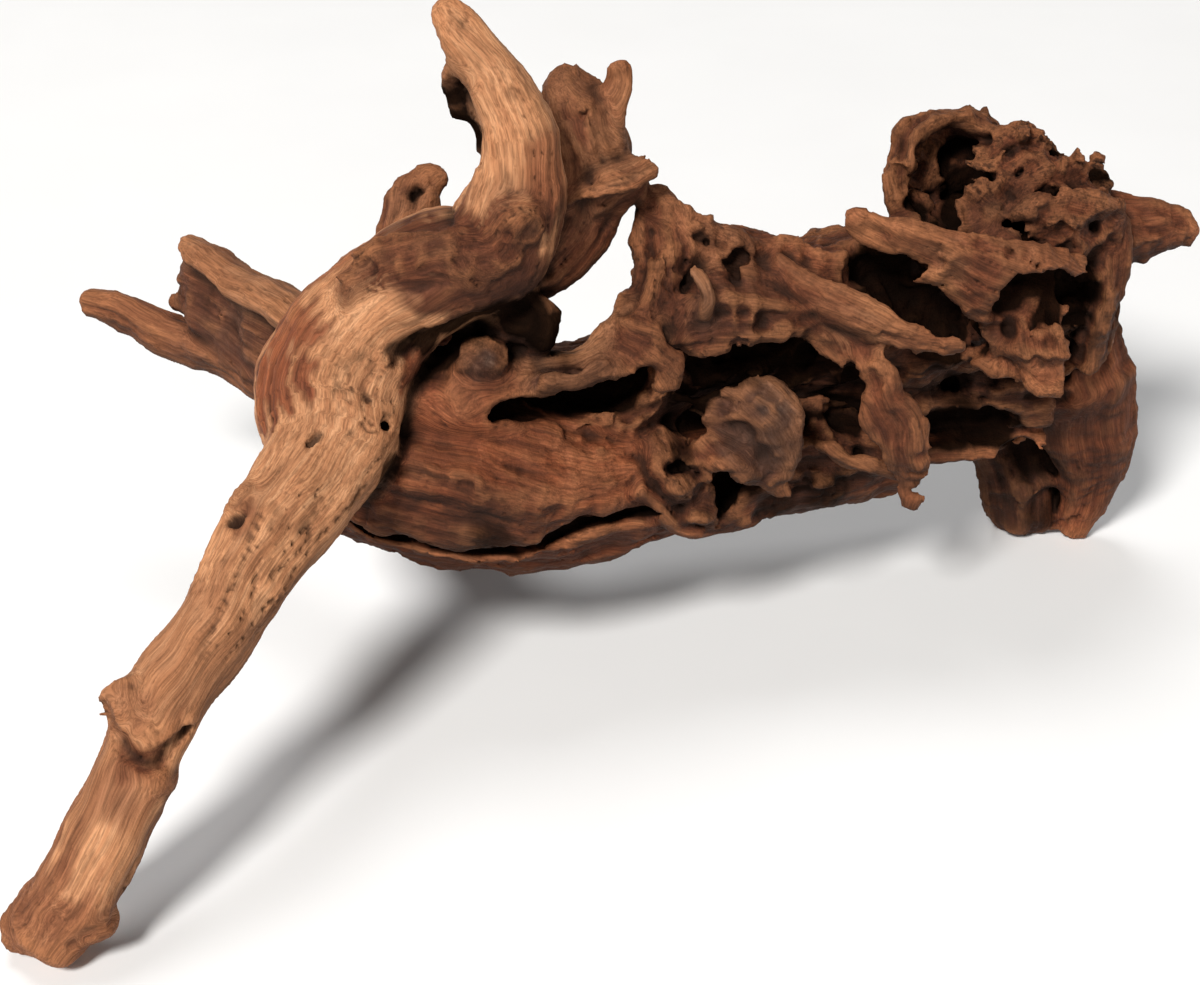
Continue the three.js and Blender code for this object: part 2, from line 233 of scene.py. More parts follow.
def head():
    return [
        limb([(131, 88, 135, 29), (154, 92, 135, 33), (178, 98, 128, 25)], tone=BROWN, blend=8, gnarl=0.6),
        limb([(137, 84, 163, 20), (150, 90, 168, 17), (162, 95, 163, 16), (177, 99, 154, 14)],
             tone=BROWN, blend=4, gnarl=1.0),
        limb([(152, 76, 166, 12), (164, 80, 170, 11), (174, 84, 160, 10)], tone=WORN, blend=3, gnarl=0.9),
        # curled rim round the hollow crown
        limb([(116, 76, 162, 8), (112, 76, 172, 6.5), (111, 78, 182, 6.5), (113, 82, 190, 7),
              (121, 88, 193, 6), (133, 92, 191, 5), (144, 94, 187, 6)], tone=BROWN, blend=3, gnarl=0.6),
        limb([(120, 102, 165, 13), (127, 106, 178, 12), (144, 106, 180, 11)], tone=BROWN, blend=4, gnarl=0.8),
        limb([(140, 78, 182, 7), (150, 82, 187, 8), (159, 88, 182, 8), (168, 94, 175, 6), (180, 98, 168, 4),
              (188, 99, 166, 2.5)], tone=WORN, blend=3, gnarl=0.8),
        # worn plate that sweeps down over the face
        limb([(90, 42, 178, 5), (99, 42, 173, 8), (111, 43, 166, 12), (126, 46, 158, 17), (142, 50, 149, 22),
              (157, 58, 138, 19)], tone=WORN, flat=0.5, thin=(0, 1, 0.3), blend=3, gnarl=0.3),
        limb([(104, 56, 162, 8), (118, 62, 160, 12), (134, 68, 160, 16)], tone=BROWN, blend=5),
        limb([(150, 62, 166, 13), (166, 70, 160, 15), (178, 80, 150, 13)], tone=WORN, flat=0.7,
             thin=(0, 1, 0.4), blend=4, gnarl=0.7),
        limb([(124, 56, 140, 10), (132, 54, 126, 11), (144, 52, 118, 8)], tone=WORN, flat=0.6, thin=(0, 1, 0),
             blend=4, gnarl=0.4),
        # knuckle under the arch
        limb([(158, 72, 133, 12), (156, 52, 131, 12), (158, 46, 124, 9), (164, 44, 116, 5)],
             tone=ORANGE, blend=3),
        limb([(148, 50, 122, 6), (157, 44, 114, 6), (164, 43, 111, 4)], tone=ORANGE, blend=3, gnarl=0.6),
        # spur
        limb([(181, 98, 141, 20), (195, 101, 143, 16), (206, 103, 144, 12), (217, 104, 144, 7.5),
              (225, 104, 140, 3.5)], tone=WORN, flat=0.8, thin=(0, 1, 0), gnarl=0.2),
    ]


def right_foot():
    return [
        limb([(176, 98, 146, 15), (178, 97, 126, 16), (182, 98, 104, 18), (189, 99, 84, 20),
              (193, 102, 62, 19),
              (196, 106, 42, 16), (197, 110, 22, 11), (196, 113, 4, 7)], tone=RED, flat=0.6, thin=(0, 1, 0),
             blend=6, gnarl=0.15),
        limb([(185, 86, 154, 11), (187, 80, 140, 11), (187, 80, 124, 12), (186, 86, 106, 13)], tone=BROWN,
             flat=0.7, thin=(1, -0.5, 0), blend=4, gnarl=0.4),
        limb([(190, 100, 120, 5), (196, 102, 106, 5), (200, 103, 93, 6), (203.5, 104, 75, 7),
              (205, 106, 57, 7)], tone=BROWN, blend=3, gnarl=0.4),
        # inner foot, toned dark as painted shade
        limb([(160, 116, 70, 17), (165, 118, 48, 15.5), (172, 120, 26, 15), (175, 121, 8, 15)], tone=DARK,
             flat=0.8, thin=(0, 1, 0), blend=6, gnarl=0.4),
        limb([(112, 68, 90, 7), (139, 78, 84, 6), (168, 84, 82, 8)], tone=BROWN, blend=3, gnarl=0.4),
        limb([(112, 66, 72, 8), (128, 72, 68, 6), (145, 78, 66, 6), (168, 88, 62, 9)], tone=RED, blend=3,
             gnarl=0.3),
        limb([(108, 92, 90, 20), (157, 106, 82, 22), (188, 108, 84, 18)], tone=BROWN, blend=8, gnarl=0.6),
        # dark mass behind the crossing roots, toned as painted shade
        limb([(104, 84, 76, 14), (128, 92, 78, 15), (150, 96, 76, 14)], tone=DARK, blend=6, gnarl=0.3),
        limb([(124, 74, 108, 10), (146, 80, 102, 10), (170, 86, 104, 12)], tone=BROWN, blend=4, gnarl=0.6),
    ]


def hollows():
    """Limbs of empty space, cut out of the wood."""
    return [
        # fold where the hub leans over the trunk
        limb([(-62, -9, 151, 4.5), (-60, -9, 143, 4), (-59, -8, 134, 3.5), (-59, -11, 124, 2.5)]),
        # notch beside the horn
        limb([(-38, 8, 213, 2), (-42, 10, 224, 3), (-47, 12, 234, 2.5)], flat=0.7, thin=(1, 0, 0)),
        # groove round the leg under its broken collar
        limb([(-157, -105, 76, 1.4), (-151, -114, 71, 1.5), (-145, -119, 66, 2), (-137, -114, 68, 1.5),
              (-131, -105, 73, 1.4)]),
        limb([(-161, -148, 20, 2.5), (-166, -150, 15, 3)]),
        # under the second branch's shelf
        limb([(-8, 20, 190, 4), (2, 21, 192, 6), (12, 26, 195, 5)], flat=0.6, thin=(0, 0, 1)),
        limb([(-66, 36, 184, 3), (-66, 46, 188, 3)]),
        # long crack low on the trunk
        limb([(-90, 2, 84, 4), (-70, -10, 79, 7), (-56, -16, 75, 10), (-28, -12, 73, 11),
              (-14, -8, 77, 10), (0, 0, 80, 8), (22, 14, 76, 4)], flat=0.3, thin=(0, 0.3, 1)),
        # gap under the arm
        limb([(-67, -14, 152, 5), (-60, -13, 153, 8), (-54, -10, 156, 7.5), (-47, -7, 158, 7.5),
              (-38, -3, 159, 7.5), (-27, 0, 159, 6)], flat=0.8, thin=(0, 0, 1)),
        # long slot under the torn rim
        limb([(-33, 0, 124, 10), (-22, 6, 122, 15), (-6, 12, 122, 19), (8, 16, 127, 17), (17, 18, 135, 9)],
             flat=0.4, thin=(0, 0.3, 1)),
        # slit and hole below the ridge
        limb([(22, 25, 177, 3), (32, 27, 173, 3.5), (41, 29, 169, 4.5), (47, 31, 164, 5.5),
              (48, 31, 158, 3.5)]),
        # dark cavity behind the shield
        limb([(27, 16, 122, 7), (36, 26, 127, 9), (46, 33, 130, 11), (60, 38, 129, 12), (73, 42, 121, 13),
              (80, 42, 107, 11), (78, 38, 95, 9)]),
        limb([(30, 20, 114, 7), (34, 26, 106, 6)]),
        limb([(84, 36, 120, 9), (92, 42, 106, 12), (94, 46, 92, 10)]),
        # eye of the knot, and the knot hole beside it
        limb([(26, 6, 98, 4), (28, 16, 93, 3.5)]),
        limb([(44, 2, 88, 7), (46, 16, 82, 9), (48, 32, 76, 8)], flat=0.75, thin=(1, 0, 0)),
        # hollow crown
        limb([(118, 56, 178, 9), (120, 72, 178, 11), (126, 82, 178, 12), (134, 88, 176, 11)]),
        limb([(118, 58, 164, 7), (124, 70, 168, 9)]),
        # arch over the knuckle
        limb([(142, 41, 136, 5), (147, 43, 145, 8), (156, 45, 150, 9), (166, 49, 143, 7)]),
        limb([(171, 58, 148, 6), (173, 64, 137, 10), (172, 66, 123, 9)]),
        # deep shade between the plate and the sheet
        limb([(90, 50, 168, 6), (97, 50, 157, 11), (108, 51, 146, 14), (120, 52, 133, 13),
              (130, 50, 119, 9)]),
        limb([(100, 38, 128, 8), (112, 42, 120, 9), (124, 46, 112, 7)]),
        # between the crossing roots and the foot
        limb([(126, 58, 98, 9), (140, 66, 95, 9), (156, 70, 97, 8)], flat=0.7, thin=(0, 0, 1)),
        limb([(122, 62, 82, 9), (136, 70, 79, 10), (154, 76, 77, 9)], flat=0.8, thin=(0, 0, 1)),
        limb([(146, 66, 52, 10), (166, 84, 52, 11), (172, 90, 36, 8)]),
    ]


def bores():
    """Beetle holes and knots that have fallen out: (x, y, z, radius) of a ball each."""
    return [
        (-57, -16, 153, 7), (-63, -19, 152, 5), (-72.5, -20, 131.5, 2.5), (-72.5, -17.5, 130, 2.2),
        (-77, -17, 140, 1.5), (-68.5, -18, 127.5, 1.4),
        (-96, -33, 131, 1.4), (-94.5, -31.5, 132.5, 1.5), (-93, -30, 134, 1.4), (-91.5, -29, 136, 1.2),
        (-117, -60, 119, 3.6), (-119, -58, 117, 2.6), (-143, -118, 67, 2.2),
        (21, 22, 173, 3.6), (23, 18, 156, 3.2), (57, 24, 146, 3.6),
        (127, 60, 184, 4.4), (140, 62, 172, 3.6), (149, 62, 167, 5), (153, 66, 184, 4), (176, 84, 172, 5),
        (164, 84, 181, 3.4), (158, 64, 176, 4.4), (168, 70, 172, 4), (134, 60, 164, 3.6), (178, 70, 160, 4),
        (130, 36, 158, 1.8), (138, 35, 150, 2.2), (126, 34, 148, 1.4), (152, 42, 160, 1.6),
        (142, 38, 166, 1.6), (-4, 24, 201, 3), (-8, 18, 190, 3.2), (-14, 12, 176, 2.4), (-30, -4, 208, 2.2),
        (190, 84, 128, 3.4), (182, 82, 124, 3),
    ]


def stains():
    """Places whose tone differs from their limb's, later ones on top: (x, y, z, radius, tone, strength). Some
    are painted shade, as noted.
    """
    return [
        # the two RED stains at the hub's left edge are partly its real orange-brown and partly painted shade
        # on the side turned from the light
        (-113, -6, 138, 19, RED, 0.9), (-108, 4, 160, 19, RED, 0.8), (-92, 10, 184, 18, ORANGE, 0.9),
        (-70, 4, 191, 15, BROWN, 0.7), (-52, -2, 189, 17, BROWN, 0.9), (-38, -6, 180, 14, BROWN, 0.8),
        # the BROWN stain at (-19, 0, 200) and the ORANGE one at (-16, 4, 216) darken the horn's right side as
        # painted shade
        (-22, -4, 180, 16, BROWN, 0.9), (-19, 0, 200, 14, BROWN, 0.8), (-16, 4, 216, 11, ORANGE, 0.9),
        (-52, 18, 246, 8, ORANGE, 0.5), (-138, -98, 80, 10, TAN, 0.6), (-148, -112, 58, 24, ORANGE, 0.45),
        (-172, -136, 20, 26, ORANGE, 0.6), (-144, -118, 66, 8, BROWN, 0.8), (-117, -60, 119, 7, BROWN, 0.8),
        (-152, -118, 58, 26, WORN, 0.5), (-128, -86, 88, 30, WORN, 0.5), (-108, -54, 108, 22, WORN, 0.35),
        (-174, -134, 16, 24, WORN, 0.55), (-48, -11, 178, 14, BROWN, 0.85), (-36, -8, 176, 15, BROWN, 0.85),
        (-62, -9, 186, 12, BROWN, 0.75), (-29, -5, 191, 13, BROWN, 0.75), (-41, -19, 101, 12, DARK, 0.75),
        (-62, -20, 104, 10, DARK, 0.6), (-24, -14, 97, 9, BROWN, 0.7), (86, 42, 67, 14, DARK, 0.8),
        (88, 34, 146, 14, TAN, 0.45), (-12, 0, 132, 10, STONE, 0.7), (-140, 84, 134, 20, WORN, 0.4),
        (46, 16, 114, 12, BROWN, 0.4), (54, 14, 98, 12, LEAD, 0.6), (-64, 46, 180, 14, TAN, 0.5),
        (192, 98, 75, 30, RUST, 0.6), (198, 102, 34, 28, UMBER, 0.6), (204, 94, 74, 18, BROWN, 0.5),
        # the DARK stain at (168, 112, 50) is painted shade inside the right foot
        (38, 36, 176, 14, TAN, 0.7), (190, 90, 118, 22, DARK, 0.5), (168, 112, 50, 24, DARK, 0.6),
        (-2, -2, 90, 14, BROWN, 0.35), (106, 26, 96, 14, BROWN, 0.35),
        (-186, 106, 104, 24, WORN, 0.5), (-62, -8, 144, 11, RED, 0.95), (-52, -6, 132, 12, ORANGE, 0.6),
        (-42, -10, 149, 11, GREY, 0.9), (-60, -6, 186, 14, BROWN, 0.7), (-46, -6, 190, 12, BROWN, 0.7),
        (-30, -2, 204, 16, WORN, 0.4), (-5, 40, 208, 24, TAN, 0.8), (-8, 30, 186, 18, WORN, 0.6),
        (52, 44, 164, 12, ORANGE, 0.5), (70, 48, 158, 12, ORANGE, 0.4), (108, 34, 138, 18, TAN, 0.35),
        (-70, -12, 88, 13, DARK, 0.75), (-45, -16, 86, 14, DARK, 0.75), (-20, -10, 88, 12, DARK, 0.5),
        (30, 14, 82, 17, DARK, 0.7), (52, 24, 74, 16, DARK, 0.7), (72, 40, 62, 18, DARK, 0.7),
        # the DARK stains at (130, 66, 92) and (150, 74, 86) are painted shade behind the crossing roots
        (102, 48, 66, 16, DARK, 0.6), (130, 66, 92, 22, DARK, 0.8), (150, 74, 86, 22, DARK, 0.8),
        (-20, 0, 108, 20, ORANGE, 0.5), (150, 44, 132, 16, BROWN, 0.5), (120, 40, 162, 10, TAN, 0.4),
        (-40, -14, 88, 13, DARK, 0.6), (-68, -14, 90, 10, BROWN, 0.8), (-60, -12, 112, 13, BROWN, 0.6),
        (-130, -90, 86, 30, TAN, 0.6), (-116, -66, 104, 18, TAN, 0.3), (35, 38, 178, 14, ORANGE, 0.6),
        # the DARK stain at (174, 110, 40) is painted shade inside the right foot
        (174, 110, 40, 18, DARK, 0.9), (184, 84, 112, 16, BROWN, 0.7), (60, 48, 166, 12, WORN, 0.6),
        (0, 2, 100, 18, ORANGE, 0.7), (-30, -2, 104, 16, ORANGE, 0.4), (90, 38, 178, 9, ORANGE, 0.6),
        (160, 44, 118, 8, ORANGE, 0.8), (224, 104, 146, 6, ORANGE, 0.8), (-6, 40, 222, 12, ORANGE, 0.5),
    ]


def shade_spots():
    """Places painted dark as shade, in hollows and under overhangs: (x, y, z, radius, strength)."""
    return [
        # under the arm, and the horn's flap
        (-64, -13, 153, 8, 0.95), (-56, -10, 155, 10, 0.95), (-46, -3, 159, 10, 0.95),
        (-35, 0, 162, 11, 0.95), (-25, 4, 158, 12, 0.95), (-16, 9, 152, 13, 0.9),
        (-44, 20, 222, 10, 0.85), (-47, 20, 234, 6, 0.85),
        # fold below the leg, and the low crack
        (-72, -20, 112, 8, 0.7), (-38, -12, 84, 9, 0.5),
        # cavity and knot in the middle of the trunk
        (57, 42, 126, 20, 1.0), (43, 34, 124, 13, 1.0), (74, 47, 118, 17, 1.0), (32, 25, 116, 9, 0.8),
        (52, 34, 78, 11, 0.9), (40, 26, 84, 7, 0.8), (94, 52, 104, 12, 0.9), (48, 37, 76, 9, 0.9),
        (92, 58, 92, 13, 0.7), (29, 18, 97, 6, 0.6), (86, 40, 65, 11, 0.6), (66, 32, 66, 10, 0.55),
        # between the plate and the sheet, and under the arch
        (102, 54, 158, 12, 0.95), (106, 56, 147, 14, 1.0), (117, 58, 136, 13, 1.0), (124, 56, 121, 12, 1.0),
        (114, 58, 142, 14, 0.5), (156, 58, 148, 8, 0.9), (174, 72, 137, 11, 0.95), (173, 76, 124, 10, 0.95),
        (174, 76, 130, 10, 0.7),
        # behind the crossing roots, and inside the right foot
        (130, 78, 98, 12, 0.9), (150, 84, 98, 12, 0.9), (133, 74, 79, 14, 0.9), (148, 82, 75, 14, 0.9),
        (174, 112, 44, 15, 0.7), (178, 116, 14, 12, 0.6),
    ]


# ---- noise --------------------------------------------------------------------------------
LATTICE = np.random.RandomState(7).uniform(-1.0, 1.0, (32, 32, 32)).astype(np.float32)


def noise(points, seed):
    """Smooth value noise in -1..1, one unit per cell."""
    moved = points + np.array([seed * 7.31, seed * 3.77, seed * 5.13])
    cell = np.floor(moved).astype(np.int32)
    t = (moved - cell).astype(np.float32)
    t = t * t * (3 - 2 * t)
    x0, y0, z0 = (cell[:, axis] & 31 for axis in range(3))
    x1, y1, z1 = (x0 + 1) & 31, (y0 + 1) & 31, (z0 + 1) & 31
    tx, ty, tz = t[:, 0], t[:, 1], t[:, 2]
    c00 = LATTICE[x0, y0, z0] * (1 - tx) + LATTICE[x1, y0, z0] * tx
    c10 = LATTICE[x0, y1, z0] * (1 - tx) + LATTICE[x1, y1, z0] * tx
    c01 = LATTICE[x0, y0, z1] * (1 - tx) + LATTICE[x1, y0, z1] * tx
    c11 = LATTICE[x0, y1, z1] * (1 - tx) + LATTICE[x1, y1, z1] * tx
    return (c00 * (1 - ty) + c10 * ty) * (1 - tz) + (c01 * (1 - ty) + c11 * ty) * tz


def ridges(points, seed):
    """1 along thin wandering sheets, falling to 0 between them."""
    return 1 - np.abs(noise(points, seed)) * 2.2


def ease(low, high, value):
    t = np.clip((value - low) / (high - low), 0, 1)
    return t * t * (3 - 2 * t)


# ---- the field ----------------------------------------------------------------------------
def catmull(points):
    """Points of a Catmull-Rom curve about SPINE_STEP apart, radius included."""
    ends = np.vstack([2 * points[0] - points[1], points, 2 * points[-1] - points[-2]])
    rows = []
    for i in range(len(points) - 1):
        a, b, c, d = ends[i:i + 4]
        count = max(2, int(np.linalg.norm((c - b)[:3]) / SPINE_STEP) + 1)
        for t in np.linspace(0, 1, count, endpoint=False):
            rows.append(0.5 * (2 * b + (c - a) * t + (2 * a - 5 * b + 4 * c - d) * t ** 2
                               + (3 * b - a - 3 * c + d) * t ** 3))
    rows.append(points[-1])
    return np.array(rows)


def prepare(limbs, first_seed):
    """Adds each limb's sampled spine, its section directions and its grain seed."""
    for number, each in enumerate(limbs):
        samples = catmull(np.array(each["spine"], float))
        centres, radii = samples[:, :3], np.maximum(samples[:, 3], 0.8)
        steps = np.diff(centres, axis=0)
        lengths = np.linalg.norm(steps, axis=1)
        tangents = steps / lengths[:, None]
        run = np.abs(centres[-1] - centres[0])
        thin = np.array(each["thin"], float) if each["thin"] else np.eye(3)[np.argmin(run)]
        narrow = []
        for tangent in tangents:
            thin = thin - thin.dot(tangent) * tangent
            thin = thin / np.linalg.norm(thin)
            narrow.append(thin)
        reach = radii.max() + NEAR
        each.update(centres=centres, radii=radii, steps=steps, lengths=lengths, tangents=tangents,
                    narrow=np.array(narrow), wide=np.cross(tangents, narrow),
                    along=np.concatenate([[0], np.cumsum(lengths)]), seed=first_seed + number,
                    low=centres.min(0) - reach, high=centres.max(0) + reach)
    return limbs


def nearest_step(each, points):
    """The step of the spine whose skin is nearest to each point, and how far along it the point lies."""
    best = np.full(len(points), 1e9)
    segment = np.zeros(len(points), np.int32)
    share = np.zeros(len(points))
    for i, step in enumerate(each["steps"]):
        rel = points - each["centres"][i]
        t = np.clip(rel @ step / each["lengths"][i] ** 2, 0, 1)
        gap = np.sqrt(((rel - t[:, None] * step) ** 2).sum(1))
        gap -= each["radii"][i] + t * (each["radii"][i + 1] - each["radii"][i])
        closer = gap < best
        best[closer] = gap[closer]
        segment[closer] = i
        share[closer] = t[closer]
    return segment, share


def section_shape(each, wide, narrow, ring, along):
    """How much lumps and ribs swell or shrink a limb's section."""
    facets = noise(np.stack([wide / ring * 1.4, narrow / ring * 1.4, along / 26], 1), each["seed"] + 160)
    ribs = noise(np.stack([wide / ring * 3.2, narrow / ring * 3.2, along / 60], 1), each["seed"] + 200)
    return 1 - (0.08 + 0.3 * each["gnarl"]) * facets - (0.05 + 0.16 * each["gnarl"]) * ribs


def limb_distance(each, points):
    """Distance to a limb's skin, and each point's place in the limb's grain (two across, one along)."""
    segment, share = nearest_step(each, points)
    radius = each["radii"][segment] * (1 - share) + each["radii"][segment + 1] * share
    offset = points - each["centres"][segment] - share[:, None] * each["steps"][segment]
    across = (offset * each["wide"][segment]).sum(1)
    deep = (offset * each["narrow"][segment]).sum(1)
    ahead = (offset * each["tangents"][segment]).sum(1)
    last = len(each["steps"]) - 1
    at_end = ((segment == 0) & (share <= 0)) | ((segment == last) & (share >= 1))
    along = each["along"][segment] + share * each["lengths"][segment] + np.where(at_end, ahead, 0)
    wide, narrow = across / radius, deep / (radius * each["flat"])
    ring = np.sqrt(wide ** 2 + narrow ** 2) + 1e-6
    lumpy = section_shape(each, wide, narrow, ring, along)
    # past its ends a limb is capped by a short dome
    k = np.maximum(np.sqrt((ring * lumpy) ** 2 + (np.where(at_end, 1.5, 1.0) * ahead / radius) ** 2), 1e-3)
    size = np.sqrt((offset ** 2).sum(1))
    distance = np.where(k > 0.02, size * (1 - 1 / k), -radius * each["flat"])
    return distance, np.stack([across, deep, along], 1)


def soft_min(a, b, k):
    h = np.maximum(k - np.abs(a - b), 0) / k
    return np.minimum(a, b) - h * h * k / 4


def within(each, points):
    return np.flatnonzero(((points > each["low"]) & (points < each["high"])).all(1))


def warped(points):
    """Bends the limbs a little, so that nothing is a true tube."""
    big = np.stack([noise(points / 33, 1), noise(points / 33, 2), noise(points / 33, 3)], 1)
    small = np.stack([noise(points / 11, 4), noise(points / 11, 5), noise(points / 11, 6)], 1)
    return points + 2.4 * big + 1.1 * small


def grain_relief(place, seed, gnarl):
    """Long swells, furrows and broken ledges that run along the grain."""
    broad = noise(place / np.array([6.5, 6.5, 48.0]), seed)
    fine = noise(place / np.array([2.7, 2.7, 30.0]), seed + 40)
    furrow = ease(0.55, 1.0, ridges(place / np.array([4.6, 4.6, 70.0]), seed + 80))
    ledge = np.tanh(7 * noise(place / np.array([5.0, 5.0, 19.0]), seed + 120))
    return (0.45 + 0.9 * gnarl) * (0.8 * broad + 0.45 * fine + 1.5 * furrow) + 1.3 * gnarl * ledge


def body_field(points):
    """Field of the wood before its weathering, with tone, gnarl and grain where limbs are near."""
    bent = warped(points)
    total = len(points)
    field = np.full(total, FAR)
    weight = np.full(total, 1e-6)
    tone, gnarl, relief = np.zeros((total, 3)), np.zeros(total), np.zeros(total)
    grain, strongest, firmness = np.zeros((total, 3)), np.zeros(total), np.full(total, 1e-12)
    for each in LIMBS:
        near = within(each, bent)
        if not len(near):
            continue
        distance, place = limb_distance(each, bent[near])
        field[near] = soft_min(field[near], distance, each["blend"])
        pull = np.exp(-np.clip(distance, -12, 30) / PULL_FADE)
        weight[near] += pull
        tone[near] += pull[:, None] * np.array(each["tone"])
        gnarl[near] += pull * each["gnarl"]
        relief[near] += pull * grain_relief(place, each["seed"], each["gnarl"])
        home = GRAIN_SPREAD * np.sin(each["seed"] * np.array([1.7, 2.9, 0.9]))
        firm = pull ** 2
        firmness[near] += firm
        grain[near] += firm[:, None] * (place + home)
        strongest[near] = np.maximum(strongest[near], pull)
    scale = 1 / weight
    return field, {"tone": tone * scale[:, None], "gnarl": gnarl * scale, "relief": relief * scale,
                   "grain": grain / firmness[:, None], "sure": strongest * scale, "bent": bent}


def carved(field, bent):
    """The field with the hollows and the round holes cut out."""
    for each in HOLLOWS:
        near = within(each, bent)
        if len(near):
            distance, _ = limb_distance(each, bent[near])
            field[near] = -soft_min(-field[near], distance, LIP)
    for x, y, z, radius in bores():
        gap = np.sqrt(((bent - (x, y, z)) ** 2).sum(1)) - radius
        near = gap < 3
        field[near] = np.maximum(field[near], -gap[near])
    return field


def eaten(points, gnarl):
    """How deep rot and water have eaten into the wood."""
    broad = np.abs(noise(points / np.array([17.0, 17.0, 14.0]), 11))
    cells = np.abs(noise(points / 8.0, 12))
    pits = ease(0.4, 0.75, noise(points / 6.0, 13))
    return gnarl * (6.0 * ease(0.05, 0.7, broad) + 3.5 * ease(0.03, 0.6, cells) + 3.0 * pits - 3.4)


def wood_field(points):
    """The finished field: negative inside the wood. Also returns the traits and the uncarved field."""
    field, traits = body_field(points)
    whole = field.copy()
    field = carved(field, traits["bent"])
    field = field + traits["relief"] + eaten(traits["bent"], traits["gnarl"])
    # the feet are worn flat on the ground
    field = np.maximum(field, -points[:, 2])
    return field, traits, whole


def in_chunks(points):
    """What wood_field gives for many points, one chunk after the other to save memory."""
    return (wood_field(points[i:i + CHUNK]) for i in range(0, len(points), CHUNK))


def field_only(points):
    return np.concatenate([part[0] for part in in_chunks(points)]).astype(np.float32)


def doubled(grid):
    """The grid with a linear step put between each two."""
    for axis in range(3):
        swapped = np.moveaxis(grid, axis, 0)
        out = np.empty((2 * swapped.shape[0] - 1,) + swapped.shape[1:], np.float32)
        out[::2] = swapped
        out[1::2] = (swapped[1:] + swapped[:-1]) / 2
        grid = np.moveaxis(out, 0, axis)
    return grid


def field_grid():
    """Field on a grid of VOXEL steps, worked out in full only near the skin."""
    step = FIRST_STEPS * VOXEL
    low = np.min([each["low"] for each in LIMBS], axis=0) + NEAR - 8
    high = np.max([each["high"] for each in LIMBS], axis=0) - NEAR + 8
    low[2] = -3 * VOXEL
    counts = np.ceil((high - low) / step).astype(int) + 1
    grid = field_only(low + np.argwhere(np.ones(counts, bool)) * step).reshape(counts)
    for band in BANDS:
        grid = doubled(grid)
        step /= 2
        chosen = np.abs(grid) < band
        grid[chosen] = field_only(low + np.argwhere(chosen) * step)
    return grid, low


# ---- the mesh -----------------------------------------------------------------------------
def largest_shell(count, quads):
    """Which vertices belong to the biggest connected surface; crumbs that float free are left out."""
    label = np.arange(count)
    edges = np.concatenate([quads[:, [0, 1]], quads[:, [1, 2]], quads[:, [2, 3]]])
    while True:
        low = np.minimum(label[edges[:, 0]], label[edges[:, 1]])
        before = label.copy()
        np.minimum.at(label, edges[:, 0], low)
        np.minimum.at(label, edges[:, 1], low)
        label = label[label]
        if (label == before).all():
            break
    return label == np.bincount(label).argmax()


def skin_from_field():
    """Points and quads of the wood's skin, with the grid that they come from."""
    grid, low = field_grid()
    volume = openvdb.FloatGrid(FAR)
    volume.copyFromArray(np.ascontiguousarray(grid))
    points, quads = volume.convertToQuads(isovalue=0.0)
    kept = largest_shell(len(points), quads)
    renumber = np.cumsum(kept) - 1
    quads = renumber[quads[kept[quads[:, 0]]]]
    return low + points[kept] * VOXEL, quads, grid, low


def vertex_normals(points, quads):
    """Outward directions, weighted by face area."""
    a, b, c, d = (points[quads[:, i]] for i in range(4))
    face = np.cross(c - a, d - b)
    normal = np.zeros_like(points)
    for corner in range(4):
        np.add.at(normal, quads[:, corner], face)
    return normal / np.maximum(np.linalg.norm(normal, axis=1), 1e-9)[:, None]


def blurred(grid, reach):
    """Box blur of a 3-D grid, run twice along each axis."""
    for axis in (0, 1, 2, 0, 1, 2):
        padded = np.pad(grid, [(reach + 1, reach) if a == axis else (0, 0) for a in range(3)], mode="edge")
        total = np.cumsum(padded, axis=axis)
        size = 2 * reach + 1
        front = np.take(total, range(size, total.shape[axis]), axis=axis)
        back = np.take(total, range(0, total.shape[axis] - size), axis=axis)
        grid = (front - back) / size
    return grid


def sampled(grid, low, step, points):
    """Linear look-up of a grid at points."""
    p = np.clip((points - low) / step, 0, np.array(grid.shape) - 1.001)
    cell = p.astype(int)
    t = p - cell
    out = np.zeros(len(points))
    for corner in np.ndindex(2, 2, 2):
        share = np.prod(np.where(corner, t, 1 - t), axis=1)
        x, y, z = (cell + np.array(corner)).T
        out += share * grid[x, y, z]
    return out


def closeness(grid, low, points, normals):
    """How enclosed each point is (deep, painted as shade of hollows), how exposed it is (worn) and how far it
    sits in a crease (painted as shade), from the share of wood around it.
    """
    solid = (grid[::2, ::2, ::2] < 0).astype(np.float32)
    step = 2 * VOXEL
    wide = blurred(solid, max(2, int(round(SHUT_REACH / step))))
    tight = blurred(solid, max(1, int(round(EDGE_REACH / step))))
    hollow_shade = sampled(wide, low, step, points + 5 * normals)
    edge = sampled(tight, low, step, points)
    return ease(0.32, 0.68, hollow_shade), ease(0.50, 0.33, edge), ease(0.50, 0.66, edge)


def drifted(points, grain):
    """Uneven edges for stains: streaky along the grain, blotchy across it."""
    streaks = noise(grain / np.array([3.2, 3.2, 34.0]), 33) * 0.55
    return streaks + noise(points / 9.0, 31) * 0.3 + noise(points / 4.0, 32) * 0.15


def stained(tone, points, drift):
    """Blends the stains into the tone."""
    for x, y, z, radius, colour, strength in stains():
        gap = np.sqrt(((points - (x, y, z)) ** 2).sum(1)) / radius + drift
        share = (strength * ease(1.3, 0.5, gap))[:, None]
        tone = tone * (1 - share) + share * np.array(colour)
    return tone


def with_shade_spots(deep, points, drift):
    """Darkens the places of painted shade."""
    for x, y, z, radius, strength in shade_spots():
        gap = np.sqrt(((points - (x, y, z)) ** 2).sum(1)) / radius + 0.5 * drift
        deep = np.maximum(deep, strength * ease(1.2, 0.6, gap))
    return deep


